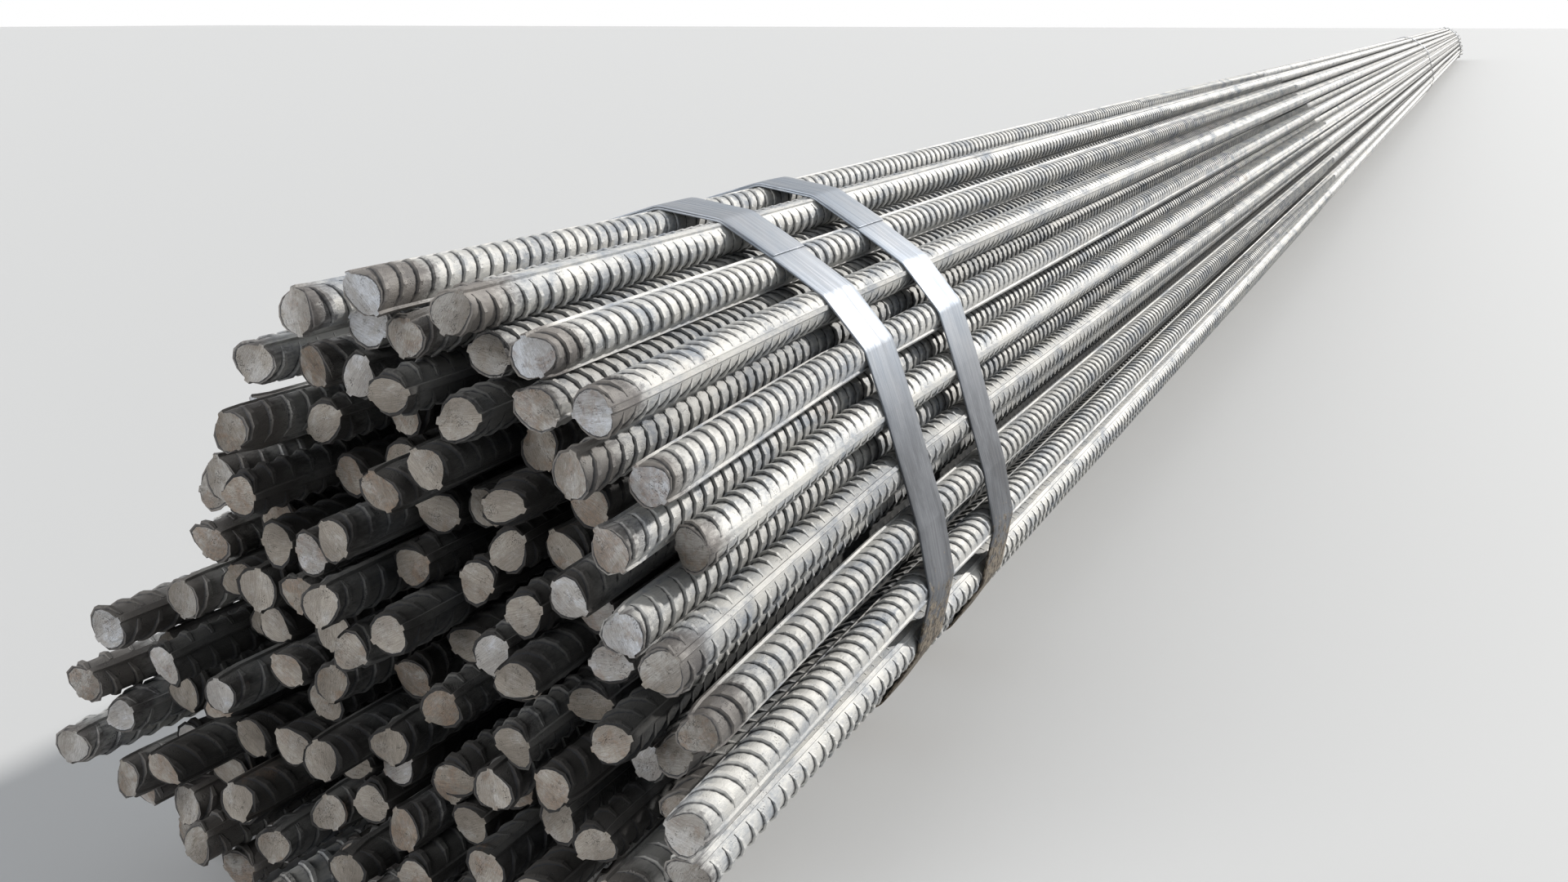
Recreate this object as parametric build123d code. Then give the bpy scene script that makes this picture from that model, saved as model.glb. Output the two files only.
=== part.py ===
# A strapped bundle of ribbed steel reinforcing bars, lying on a level floor.
# The bars run along X, from the near end at -X. Y is to the left, and the floor is Z = 0.
# All sizes are in millimetres.

import os
import random
from math import cos, dist, pi, sin, sqrt

from build123d import *

# The bars. Their ribs are left out, so each is a plain round of the nominal size,
# which weighs as much as the ribbed bar does.
bar_diameter = 14.0
bar_length = 12000.0
bar_sides = 12  # flats that stand for the round
rib_gap = 0.75  # ribs keep bars that touch this far apart

# The section that the straps pull the bars into: a belt round four corner circles.
crown_radius = 61.0
crown_place = (0.0, 160.0)
shoulder_radius = 65.0
shoulder_place = (-27.0, 138.0)
right_base_radius = 70.0
right_base_across = -43.0
left_base_radius = 55.0
left_base_across = 55.0
outer_spacing = 1.62  # pitches from one bar under the straps to the next, others lie between and deeper
# how much more than a pitch a bar lies from the second bar beside it, as a share of the pitch
least_looseness = 0.2
most_looseness = 0.5

# The straps: flat steel, one layer round the bundle with the two ends lapped over the crown.
strap_width = 32.0
strap_thickness = 0.9
strap_clearance = 0.25
lap_right = -52.0  # across, where the outer end of the strap is cut
lap_left = 40.0
front_strap_from_end = 216.0  # middle of the first strap, from the bars' near ends
strap_pair_spacing = 100.0
middle_strap_place = 250.0
front_skew = 1.5  # degrees that a strap is turned about Z
second_skew = -2.0
middle_skew = 3.0

# The ends, past the outer straps, where the bars spread out.
spread_clearance = 15.0  # from the first strap's edge to where the bars begin to spread
spread_across = 1.11
spread_up = 1.03
near_lean = 0.15  # sideways shift of the near ends for each unit of height
far_lean = -0.06
end_scatter = 1.0  # how far an end wanders from its place
stagger = 18.0  # how far the bars of a ring are shifted along, either way
scatter_seed = 14

pitch = bar_diameter + rib_gap
# a polygon of this radius has the area of the round bar
bar_radius = bar_diameter / 2 * sqrt(2 * pi / bar_sides / sin(2 * pi / bar_sides))
strap_seat = bar_radius + strap_clearance
centre_inset = strap_thickness + strap_seat
spread_length = front_strap_from_end - strap_width / 2 - spread_clearance

corner_circles = [
    (crown_place, crown_radius),
    (shoulder_place, shoulder_radius),
    ((right_base_across, right_base_radius), right_base_radius),
    ((left_base_across, left_base_radius), left_base_radius),
]
bundle_height = crown_place[1] + crown_radius
half_length = bar_length / 2
scatter = random.Random(scatter_seed)


def belt(inset):
    """The face inside a belt round the corner circles, drawn in by inset."""
    rims = [
        Edge.make_circle(radius - inset, Plane((*place, 0)))
        for place, radius in corner_circles
    ]
    return make_hull(rims)


def compass(steps):
    """Directions all round, each with how far the outer bars' centres reach that way."""
    for i in range(steps):
        a, u = cos(2 * pi * i / steps), sin(2 * pi * i / steps)
        yield a, u, max(
            a * place[0] + u * place[1] + radius - centre_inset
            for place, radius in corner_circles
        )


reaches = list(compass(120))


def depth(spot):
    """How far a bar's centre lies inside the line of the outer bars' centres."""
    return min(reach - a * spot[0] - u * spot[1] for a, u, reach in reaches)


def lay_outer_bars():
    """Centres of the bars that the straps lie on, evenly spaced along the belt."""
    line = belt(centre_inset).wire()
    count = int(line.length // (pitch * outer_spacing))
    lowest = min((i / 400 for i in range(400)), key=lambda t: (line @ t).Y)
    spots = [line @ ((lowest + i / count) % 1) for i in range(count)]
    return [(spot.X, spot.Y) for spot in spots]


outer_bars = lay_outer_bars()


def pockets(first, second):
    """Centres one pitch from the first bar, and a little further from the second."""
    far = pitch * (1 + scatter.uniform(least_looseness, most_looseness))
    gap = dist(first, second)
    if gap >= pitch + far:
        return []
    along = (gap**2 + pitch**2 - far**2) / (2 * gap)
    aside = sqrt(max(pitch**2 - along**2, 0))
    a, u = (second[0] - first[0]) / gap, (second[1] - first[1]) / gap
    foot = (first[0] + a * along, first[1] + u * along)
    return [
        (foot[0] - side * u * aside, foot[1] + side * a * aside) for side in (1, -1)
    ]


def fits(spot, laid):
    return depth(spot) > 0 and all(dist(spot, bar) >= pitch - 1e-6 for bar in laid)


def lay_bars():
    """Fills the section from the outer bars inwards. Each bar lies against one already laid."""
    laid = outer_bars[:]
    free = []
    newest = laid[:]
    while newest:
        for bar in newest:
            near = [other for other in laid if 0 < dist(bar, other) < 2 * pitch]
            for other in near:
                free += pockets(bar, other)
                free += pockets(other, bar)
        free = [spot for spot in free if fits(spot, laid)]
        newest = sorted(free, key=depth)[:1]
        laid += newest
    return laid


def eased(spots, lowest):
    """Moves centres apart until none is nearer than a pitch to another, and none is too low."""
    spots = [list(spot) for spot in spots]
    for _ in range(80):
        for i, one in enumerate(spots):
            for other in spots[:i]:
                gap = dist(one, other)
                if gap < pitch:
                    push = (pitch - gap) / 2 / gap
                    for axis in (0, 1):
                        shift = (one[axis] - other[axis]) * push
                        one[axis] += shift
                        other[axis] -= shift
            one[1] = max(one[1], lowest)
    return spots


def spread(spots, lean):
    """Where the centres of the bars' ends lie, past the straps."""
    lowest = min(spot[1] for spot in spots)
    ends = []
    for across, up in spots:
        ends.append(
            (
                across * spread_across
                - lean * (up - bundle_height / 2)
                + scatter.uniform(-end_scatter, end_scatter),
                lowest
                + (up - lowest) * spread_up
                + scatter.uniform(-end_scatter, end_scatter),
            )
        )
    return eased(ends, lowest)


def make_bar(spot, near_end, far_end, shift):
    """One bar: straight under the straps, and bent away a little at both ends."""
    bend = half_length - spread_length
    away_near = Vector(-spread_length, *near_end) - Vector(0, *spot)
    away_far = Vector(spread_length, *far_end) - Vector(0, *spot)
    corners = [
        Vector(-bend, *spot) + away_near * (1 - shift / spread_length),
        Vector(-bend, *spot),
        Vector(bend, *spot),
        Vector(bend, *spot) + away_far * (1 + shift / spread_length),
    ]
    section = Plane.YZ * RegularPolygon(radius=bar_radius, side_count=bar_sides)
    legs = [
        Solid.extrude((Pos(*start) * section).face(), end - start)
        for start, end in zip(corners, corners[1:])
    ]
    return legs[0].fuse(*legs[1:])


def tight_line(distance):
    """The face inside a line pulled tight round the outer bars, that far from their centres."""
    centres = Polygon(*outer_bars, align=None)
    return offset(centres, distance, kind=Kind.INTERSECTION)


def make_strap(place, skew):
    """A strap round the bundle, its outer end lapped over the inner one at the crown."""
    rims = [tight_line(strap_seat + n * strap_thickness) for n in range(3)]
    layer = rims[1] - rims[0]
    lap = rims[2] - rims[1]
    window = Rectangle(lap_left - lap_right, bundle_height, align=(Align.MIN, Align.MIN))
    lap = lap & (Pos(lap_right, crown_place[1]) * window)
    tube = extrude(Plane.YZ * (layer + lap), 2 * strap_width, both=True)
    slab = Rot(0, 0, skew) * Box(strap_width, 4 * bundle_height, 4 * bundle_height)
    return Pos(place, 0, 0) * (tube & slab)


def ring_number(spot):
    """1 for the outer bars, and one more for each pitch further in."""
    return 1 + int(depth(spot) / (pitch * sqrt(3) / 2) + 0.5)


def staggered(count):
    """How far each bar of a ring is shifted along: evenly spaced, in a shuffled order."""
    step = 2 * stagger / max(count - 1, 1)
    shifts = [i * step - stagger for i in range(count)]
    scatter.shuffle(shifts)
    return shifts


spots = lay_bars()
rings = {}
for places in zip(spots, spread(spots, near_lean), spread(spots, far_lean)):
    rings.setdefault(ring_number(places[0]), []).append(places)

nodes = {}
for number, ring in rings.items():
    bars = [make_bar(*places, shift) for places, shift in zip(ring, staggered(len(ring)))]
    nodes[f"bars_ring_{number}"] = Compound(children=bars)

front_place = front_strap_from_end - half_length
straps = {
    "strap_front_outer": (front_place, front_skew),
    "strap_front_inner": (front_place + strap_pair_spacing, second_skew),
    "strap_middle": (middle_strap_place, middle_skew),
    "strap_back_inner": (-front_place - strap_pair_spacing, -second_skew),
    "strap_back_outer": (-front_place, -front_skew),
}

for name, where in straps.items():
    nodes[name] = make_strap(*where)

# the origin is under the middle of the whole
box = nodes["bars_ring_1"].bounding_box()
to_origin = Pos(-box.center().X, -box.center().Y, 0)
os.makedirs("parts", exist_ok=True)
for name, shape in nodes.items():
    export_step(to_origin * shape, f"parts/{name}.step")
print(len(spots), "bars in", len(rings), "rings")
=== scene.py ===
import math
import random

import bmesh
import bpy
import numpy as np
from mathutils import Matrix, Vector


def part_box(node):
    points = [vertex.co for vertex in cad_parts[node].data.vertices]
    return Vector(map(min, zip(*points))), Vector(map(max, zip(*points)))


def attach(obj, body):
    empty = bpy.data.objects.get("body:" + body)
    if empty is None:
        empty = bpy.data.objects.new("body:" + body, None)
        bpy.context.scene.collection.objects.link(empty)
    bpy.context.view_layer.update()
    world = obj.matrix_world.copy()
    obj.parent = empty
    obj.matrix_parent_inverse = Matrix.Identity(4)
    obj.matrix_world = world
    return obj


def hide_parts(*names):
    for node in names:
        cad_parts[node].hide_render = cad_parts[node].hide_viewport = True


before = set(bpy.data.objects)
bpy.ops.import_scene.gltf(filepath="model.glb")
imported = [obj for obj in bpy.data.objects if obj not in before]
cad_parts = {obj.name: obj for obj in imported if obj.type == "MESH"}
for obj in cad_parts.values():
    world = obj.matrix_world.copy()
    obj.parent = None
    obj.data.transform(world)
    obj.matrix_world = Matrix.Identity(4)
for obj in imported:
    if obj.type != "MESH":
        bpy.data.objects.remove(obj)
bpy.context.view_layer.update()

dice = random.Random(21)


def deselectAll():
    if bpy.context.object and bpy.context.object.mode != "OBJECT":
        bpy.ops.object.mode_set(mode="OBJECT")
    bpy.ops.object.select_all(action="DESELECT")


def pick(obj, kind, test):
    # in edit mode, selects only the faces or vertices that pass the test
    bpy.ops.mesh.select_mode(type="FACE" if kind == "faces" else "VERT")
    bpy.ops.mesh.select_all(action="DESELECT")
    bm = bmesh.from_edit_mesh(obj.data)
    for item in getattr(bm, kind):
        if test(item):
            item.select_set(True)
    bm.select_flush_mode()
    bmesh.update_edit_mesh(obj.data)


def pointsOf(mesh):
    flat = np.empty(len(mesh.vertices) * 3)
    mesh.vertices.foreach_get("co", flat)
    return flat.reshape(-1, 3)


def setPoints(mesh, points):
    mesh.vertices.foreach_set("co", np.asarray(points, float).ravel())
    mesh.update()


def faceOutward(obj, height=0):
    # turns every face away from the line along X at that height
    bpy.ops.object.mode_set(mode="EDIT")
    bm = bmesh.from_edit_mesh(obj.data)
    for face in bm.faces:
        centre = face.calc_center_median()
        if face.normal.y * centre.y + face.normal.z * (centre.z - height) < 0:
            face.normal_flip()
    bmesh.update_edit_mesh(obj.data)
    bpy.ops.object.mode_set(mode="OBJECT")


def joinAll(parts, name):
    deselectAll()
    for part in parts:
        part.select_set(True)
    bpy.context.view_layer.objects.active = parts[0]
    bpy.ops.object.join()
    joined = bpy.context.object
    joined.name = joined.data.name = name
    return joined


def rgba(colour):
    return (*colour, 1)


class Sheet:
    # a short way to lay out nodes
    def __init__(self, tree):
        self.tree = tree

    def add(self, kind, **settings):
        node = self.tree.nodes.new("ShaderNode" + kind)
        for key, value in settings.items():
            setattr(node, key, value)
        return node

    def feed(self, node, socket, value):
        if hasattr(value, "is_output"):
            self.tree.links.new(value, node.inputs[socket])
        else:
            node.inputs[socket].default_value = value

    def math(self, operation, a, b=0.0, c=0.0, clamp=False):
        node = self.add("Math", operation=operation, use_clamp=clamp)
        for socket, value in enumerate((a, b, c)):
            if len(node.inputs) > socket:
                self.feed(node, socket, value)
        return node.outputs[0]

    def noise(self, vector, scale, detail=3.0, rough=0.55, distortion=0.0):
        node = self.add("TexNoise")
        self.feed(node, "Vector", vector)
        self.feed(node, "Scale", scale)
        self.feed(node, "Detail", detail)
        self.feed(node, "Roughness", rough)
        self.feed(node, "Distortion", distortion)
        return node.outputs["Fac"]

    def stretch(self, vector, scale):
        node = self.add("Mapping")
        self.feed(node, "Vector", vector)
        self.feed(node, "Scale", scale)
        return node.outputs[0]

    def span(self, value, low, high, toLow=0.0, toHigh=1.0):
        node = self.add("MapRange", interpolation_type="SMOOTHSTEP")
        for socket, item in enumerate((value, low, high, toLow, toHigh)):
            self.feed(node, socket, item)
        return node.outputs[0]

    def share(self, a, b, amount):
        # amount of a and the rest of b
        return self.math("MULTIPLY_ADD", a, amount, self.math("MULTIPLY", b, 1 - amount))

    def mix(self, amount, a, b, blend="MIX"):
        node = self.add("Mix", data_type="RGBA", blend_type=blend)
        self.feed(node, 0, amount)
        for socket, colour in ((6, a), (7, b)):
            self.feed(node, socket, rgba(colour) if isinstance(colour, tuple) else colour)
        return node.outputs[2]

    def lay(self, tone, over, mask, share):
        # a share of one colour over another, where the mask is
        return self.mix(self.math("MULTIPLY", mask, share), tone, over)

    def bump(self, height, distance, strength=1.0, below=None):
        node = self.add("Bump")
        self.feed(node, "Strength", strength)
        self.feed(node, "Distance", distance)
        self.feed(node, "Height", height)
        if below is not None:
            self.feed(node, "Normal", below)
        return node.outputs[0]

    def use(self, group, **values):
        node = self.add("Group", node_tree=group)
        for key, value in values.items():
            self.feed(node, key, value)
        return node.outputs


viewSetup = {
    "place": (-6.387, -0.301, 0.295),
    "tiltDown": 14.57,
    "turn": 22.83,
    "lens": 37.5,
    "sensor": 36,
    "nearClip": 0.01,
}
lightSetup = {
    "sunWay": (-0.80, 0.46, -0.50),  # the way the light travels: from behind, on the right
    "sunPower": 4.2,
    "sunSize": 3.0,
    "fillWay": (0.86, -0.30, -0.42),  # soft light on the cut ends
    "fillPower": 2.4,
    "fillSize": 40,
    "sky": 0.24,
    "floor": (0.56, 0.565, 0.57),
    "floorSize": 80,
    "floorRoughness": 0.7,
    "sunColour": (1.0, 0.975, 0.935),
    "skyColour": (0.86, 0.93, 1.0),
}

camera = bpy.data.objects.new("photoCamera", bpy.data.cameras.new("photoCamera"))
bpy.context.collection.objects.link(camera)
camera.location = viewSetup["place"]
camera.rotation_euler = (
    math.radians(90 - viewSetup["tiltDown"]), 0, math.radians(viewSetup["turn"] - 90),
)
camera.data.lens = viewSetup["lens"]
camera.data.sensor_width = viewSetup["sensor"]
camera.data.clip_start = viewSetup["nearClip"]
bpy.context.scene.camera = camera
bpy.context.scene.view_settings.view_transform = "Standard"

deselectAll()
bpy.ops.mesh.primitive_plane_add(size=lightSetup["floorSize"])
floor = bpy.context.object
floor.name = "floor"
floorPaint = bpy.data.materials.new("floorPaint")
floorPaint.use_nodes = True
floorShader = floorPaint.node_tree.nodes["Principled BSDF"]
floorShader.inputs["Base Color"].default_value = rgba(lightSetup["floor"])
floorShader.inputs["Roughness"].default_value = lightSetup["floorRoughness"]
floor.data.materials.append(floorPaint)


def addSun(name, way, power, size):
    lamp = bpy.data.objects.new(name, bpy.data.lights.new(name, "SUN"))
    bpy.context.collection.objects.link(lamp)
    lamp.rotation_euler = Vector(way).to_track_quat("-Z", "Y").to_euler()
    lamp.data.energy = power
    lamp.data.angle = math.radians(size)
    return lamp


sun = addSun("keyLight", lightSetup["sunWay"], lightSetup["sunPower"], lightSetup["sunSize"])
sun.data.color = lightSetup["sunColour"]
addSun("fillLight", lightSetup["fillWay"], lightSetup["fillPower"], lightSetup["fillSize"])

# the camera and the gloss see white, everything else gets the sky's light
world = bpy.data.worlds.new("studio")
bpy.context.scene.world = world
world.use_nodes = True
world.node_tree.nodes.clear()
sky = Sheet(world.node_tree)
rays = sky.add("LightPath").outputs
direct = sky.math("MAXIMUM", rays["Is Camera Ray"], rays["Is Glossy Ray"])
direct = sky.math("MAXIMUM", direct, rays["Is Transmission Ray"])
skyLight, skySeen = sky.add("Background"), sky.add("Background")
sky.feed(skyLight, 0, rgba(lightSetup["skyColour"]))
sky.feed(skyLight, 1, lightSetup["sky"])
sky.feed(skySeen, 0, (1, 1, 1, 1))
sky.feed(skySeen, 1, 1.0)
skyMix = sky.add("MixShader")
for socket, value in enumerate((direct, skyLight.outputs[0], skySeen.outputs[0])):
    sky.feed(skyMix, socket, value)
sky.feed(sky.add("OutputWorld"), 0, skyMix.outputs[0])
print("camera, floor and lights are set")


def newGroup(name, inputs, outputs):
    group = bpy.data.node_groups.new(name, "ShaderNodeTree")
    kinds = {"value": "NodeSocketFloat", "vector": "NodeSocketVector", "colour": "NodeSocketColor"}
    for socket, (kind, start) in inputs.items():
        item = group.interface.new_socket(socket, in_out="INPUT", socket_type=kinds[kind])
        if start is not None:
            item.default_value = start
    for socket, kind in outputs.items():
        group.interface.new_socket(socket, in_out="OUTPUT", socket_type=kinds[kind])
    return group, Sheet(group), group.nodes.new("NodeGroupInput"), group.nodes.new("NodeGroupOutput")


patchShape = {
    "fineScale": 9,
    "fineShare": 0.25,
    "emptyLevel": 0.75,  # the noise has to pass this where the amount is 0
    "levelPerAmount": -0.5,
}


def makePatches():
    # soft patches of dirt or tarnish, with broken edges
    group, way, start, end = newGroup(
        "patches",
        {
            "Vector": ("vector", None), "Scale": ("value", 40.0),
            "Amount": ("value", 0.5), "Edge": ("value", 0.12),
        },
        {"Mask": "value"},
    )
    spot, scale, amount, edge = start.outputs[:4]
    large = way.noise(spot, scale, detail=5, rough=0.6, distortion=0.4)
    fineScale = way.math("MULTIPLY", scale, patchShape["fineScale"])
    fine = way.noise(spot, fineScale, detail=3, rough=0.6)
    both = way.share(fine, large, patchShape["fineShare"])
    level = way.math("MULTIPLY_ADD", amount, patchShape["levelPerAmount"], patchShape["emptyLevel"])
    low, high = way.math("SUBTRACT", level, edge), way.math("ADD", level, edge)
    group.links.new(way.span(both, low, high), end.inputs["Mask"])
    return group


pitShape = {
    "dot": (0.12, 0.42),  # from the middle of a pit to its edge
    "areaScale": 0.14,
    "area": (0.5, 0.68),  # where there are pits at all
    "grainScale": 1.7,
}


def makePits():
    # small pits and specks, as a height and a mask
    group, way, start, end = newGroup(
        "pits",
        {"Vector": ("vector", None), "Scale": ("value", 900.0), "Depth": ("value", 1.0)},
        {"Height": "value", "Mask": "value"},
    )
    spot, scale, depth = start.outputs[:3]
    cells = way.add("TexVoronoi", feature="F1")
    way.feed(cells, "Vector", spot)
    way.feed(cells, "Scale", scale)
    dot = way.span(cells.outputs["Distance"], *pitShape["dot"], 1.0, 0.0)
    area = way.noise(spot, way.math("MULTIPLY", scale, pitShape["areaScale"]), detail=3)
    mask = way.math("MULTIPLY", dot, way.span(area, *pitShape["area"]))
    grainScale = way.math("MULTIPLY", scale, pitShape["grainScale"])
    grain = way.noise(spot, grainScale, detail=4, rough=0.65)
    low = way.math("MULTIPLY", mask, depth)
    group.links.new(way.math("SUBTRACT", grain, low), end.inputs["Height"])
    group.links.new(mask, end.inputs["Mask"])
    return group


streakShape = {"fineScale": 4.3, "fineShare": 0.45}


def makeStreaks():
    # long fine lines, drawn out along one direction by the Stretch vector
    group, way, start, end = newGroup(
        "streaks",
        {"Vector": ("vector", None), "Stretch": ("vector", None), "Contrast": ("value", 1.0)},
        {"Tone": "value", "Height": "value"},
    )
    laid = way.add("VectorMath", operation="MULTIPLY")
    way.feed(laid, 0, start.outputs["Vector"])
    way.feed(laid, 1, start.outputs["Stretch"])
    wide = way.noise(laid.outputs[0], 1.0, detail=4, rough=0.6)
    fine = way.noise(laid.outputs[0], streakShape["fineScale"], detail=3, rough=0.7)
    both = way.share(fine, wide, streakShape["fineShare"])
    centred = way.math("SUBTRACT", both, 0.5)
    tone = way.math("MULTIPLY_ADD", centred, start.outputs["Contrast"], 0.5, clamp=True)
    group.links.new(tone, end.inputs["Tone"])
    group.links.new(both, end.inputs["Height"])
    return group


rustShape = {
    "emptyLevel": 0.78,
    "levelPerAmount": -0.5,
    "edge": 0.16,
    "shadeScale": 5,
    "shade": (0.35, 0.65),
    "dark": (0.085, 0.045, 0.026),
    "bright": (0.27, 0.15, 0.075),
}


def makeRust():
    # the colour of rust and its broken mask
    group, way, start, end = newGroup(
        "rust",
        {"Vector": ("vector", None), "Scale": ("value", 60.0), "Amount": ("value", 0.2)},
        {"Colour": "colour", "Mask": "value"},
    )
    spot, scale, amount = start.outputs[:3]
    spread = way.noise(spot, scale, detail=6, rough=0.68, distortion=0.6)
    level = way.math("MULTIPLY_ADD", amount, rustShape["levelPerAmount"], rustShape["emptyLevel"])
    mask = way.span(spread, level, way.math("ADD", level, rustShape["edge"]))
    shadeScale = way.math("MULTIPLY", scale, rustShape["shadeScale"])
    shade = way.span(way.noise(spot, shadeScale, detail=4, rough=0.6), *rustShape["shade"])
    colour = way.mix(shade, rustShape["dark"], rustShape["bright"])
    group.links.new(colour, end.inputs["Colour"])
    group.links.new(mask, end.inputs["Mask"])
    return group


ribbingShape = {
    "crest": 0.46,
    # how far the painted shade reaches up from a rib's foot
    "flankShade": 0.12,
    "crescent": (0.9, 0.35),  # where a rib runs out, and where it is full
}


def makeRibbing():
    # the rolled ribs as a height, and a mask for painted shade on their flanks, for the stretches where
    # they are not modelled.
    # U counts ribs along the bar, V counts turns round it from one long rib
    group, way, start, end = newGroup(
        "ribbing",
        {"Vector": ("vector", None), "Lean": ("value", 0.55), "Width": ("value", 0.3)},
        {"Height": "value", "FlankShade": "value"},
    )
    parts = way.add("SeparateXYZ")
    way.feed(parts, 0, start.outputs["Vector"])
    halves = way.math("FRACT", way.math("MULTIPLY", parts.outputs[1], 2))
    across = way.math("MULTIPLY_ADD", halves, 2, -1)  # -1 to 1 from one long rib to the next
    side = way.math("GREATER_THAN", way.math("FRACT", parts.outputs[1]), 0.5)
    sign = way.math("MULTIPLY_ADD", side, -2, 1)
    slant = way.math("MULTIPLY", way.math("MULTIPLY", across, start.outputs["Lean"]), sign)
    along = way.math("ADD", way.math("ADD", parts.outputs[0], slant), way.math("MULTIPLY", side, 0.5))
    far = way.math("ABSOLUTE", way.math("SUBTRACT", way.math("FRACT", along), 0.5))
    edge = way.math("SUBTRACT", 0.5, start.outputs["Width"])
    crest = way.span(far, edge, ribbingShape["crest"])
    fromEdge = way.math("ABSOLUTE", way.math("SUBTRACT", far, edge))
    flankShade = way.span(fromEdge, 0.0, ribbingShape["flankShade"], 1, 0)
    crescent = way.span(way.math("ABSOLUTE", across), *ribbingShape["crescent"])
    group.links.new(way.math("MULTIPLY", crest, crescent), end.inputs["Height"])
    group.links.new(way.math("MULTIPLY", flankShade, crescent), end.inputs["FlankShade"])
    return group


patches, pits, streaks = makePatches(), makePits(), makeStreaks()
rust, ribbing = makeRust(), makeRibbing()


lineReach = (0.2, 0.8)  # of the lines' tone, from rough to smooth


def newMaterial(name, metal):
    material = bpy.data.materials.new(name)
    material.use_nodes = True
    way = Sheet(material.node_tree)
    shader = material.node_tree.nodes["Principled BSDF"]
    shader.inputs["Metallic"].default_value = metal
    return material, way, shader


steelLook = {
    "scale": (0.350, 0.388, 0.448),  # blue-grey mill scale
    "worn": (0.780, 0.770, 0.738),  # rubbed bright
    # dark: the colour of pits, and of the painted shade at rib feet and along rib flanks
    "dark": (0.013, 0.014, 0.017),
    "stain": (0.075, 0.058, 0.046),  # brown by the cut ends
    "metal": 0.16,
    "roughness": (0.56, 0.74),
    "barShift": 31.0,  # sets one bar's pattern apart from the next one's
    "wornStretch": (0.35, 1, 1),
    "wornPatches": {"Scale": 95.0, "Amount": 0.62, "Edge": 0.16},
    "lines": {"Stretch": (14.0, 900.0, 900.0), "Contrast": 1.5},
    "lineDark": (0.25, 0.26, 0.28),
    "linePale": (1.0, 0.985, 0.95),
    "lineShare": 0.55,
    "pits": {"Scale": 1300.0, "Depth": 1.4},
    "pitShare": 0.55,
    "rustStretch": (0.6, 1, 1),
    "rust": {"Scale": 26.0, "Amount": 0.34},
    "rustShare": 0.45,
    "rustRoughness": 0.2,
    "stainLots": 9.7,  # spreads the stain's reach over the bars
    "stainReach": 3.5,  # in rib pitches
    "stainRagged": 1.8,
    "stainEdge": (2.2, 0.2),
    "stainShare": 0.8,
    "toneGain": 1.00,
    "leastTone": 0.05,
    # painted shade: dark from the foot of each modelled rib part of the way up
    "footShadeEdge": (0.75, 0.15),  # dark from a rib's foot to part of the way up
    "footShadeShare": 0.95,
    "dullTone": (0.10, 0.35),  # the darkest bars have no gloss
    "dullRoughness": 0.95,
    "bump": 0.00035,
    "bumpStrength": 0.6,
    "lineHeight": 0.5,
    "ribs": {"Lean": 0.45, "Width": 0.30},
    "ribBump": 0.0013,
    # painted shade along the flanks of the bump ribs
    "flankShadeShare": 0.75,
}


def makeBarSteel(name, ribbed):
    look = steelLook
    material, way, shader = newMaterial(name, look["metal"])
    place = way.add("TexCoord")
    # each bar's random tone, with painted shade for its depth in the bundle
    own = way.add("Attribute", attribute_name="barToneAndShade").outputs["Fac"]
    riseUpRib = way.add("Attribute", attribute_name="ribRise").outputs["Fac"]
    laid = way.add("UVMap", uv_map="barMap").outputs[0]
    shifted = way.add("VectorMath", operation="ADD")
    way.feed(shifted, 0, place.outputs["Object"])
    apart = way.add("CombineXYZ")
    way.feed(apart, 0, way.math("MULTIPLY", own, look["barShift"]))
    way.feed(shifted, 1, apart.outputs[0])
    spot = shifted.outputs[0]
    drawnOut = way.stretch(spot, look["wornStretch"])
    worn = way.use(patches, Vector=drawnOut, **look["wornPatches"])["Mask"]
    lines = way.use(streaks, Vector=spot, **look["lines"])
    small = way.use(pits, Vector=spot, **look["pits"])
    dull = way.use(rust, Vector=way.stretch(spot, look["rustStretch"]), **look["rust"])
    tone = way.mix(worn, look["scale"], look["worn"])
    drawn = way.mix(lines["Tone"], look["lineDark"], look["linePale"])
    tone = way.mix(look["lineShare"], tone, drawn, "MULTIPLY")
    runs = way.add("SeparateXYZ")
    way.feed(runs, 0, laid)
    lot = way.math("FRACT", way.math("MULTIPLY", own, look["stainLots"]))
    past = way.math("SUBTRACT", runs.outputs[0], way.math("MULTIPLY", lot, look["stainReach"]))
    ragged = way.math("MULTIPLY_ADD", worn, look["stainRagged"], past)
    stained = way.span(ragged, *look["stainEdge"], 0.0, look["stainShare"])
    tone = way.mix(stained, tone, look["stain"])
    # a bar's random tone times the painted shade for its depth in the bundle
    bright = way.math("MULTIPLY_ADD", own, look["toneGain"], look["leastTone"])
    shade = way.add("CombineColor")
    for channel in range(3):
        way.feed(shade, channel, bright)
    tone = way.mix(1.0, tone, shade.outputs[0], "MULTIPLY")
    tone = way.lay(tone, look["dark"], small["Mask"], look["pitShare"])
    tone = way.lay(tone, dull["Colour"], dull["Mask"], look["rustShare"])
    # painted shade at the foot of each modelled rib
    tone = way.mix(way.span(riseUpRib, *look["footShadeEdge"], 0.0, look["footShadeShare"]), tone, look["dark"])
    rough = way.span(worn, 0.0, 1.0, look["roughness"][1], look["roughness"][0])
    rough = way.math("MULTIPLY_ADD", dull["Mask"], look["rustRoughness"], rough)
    rough = way.math("MAXIMUM", rough, way.span(own, *look["dullTone"], look["dullRoughness"], 0.0))
    height = way.math("MULTIPLY_ADD", lines["Height"], look["lineHeight"], small["Height"])
    normal = way.bump(height, look["bump"], look["bumpStrength"])
    if ribbed:
        ribs = way.use(ribbing, Vector=laid, **look["ribs"])
        normal = way.bump(ribs["Height"], look["ribBump"], below=normal)
        # painted shade along the flanks of the bump ribs
        tone = way.lay(tone, look["dark"], ribs["FlankShade"], look["flankShadeShare"])
    way.feed(shader, "Base Color", tone)
    way.feed(shader, "Roughness", rough)
    way.feed(shader, "Normal", normal)
    return material


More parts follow.
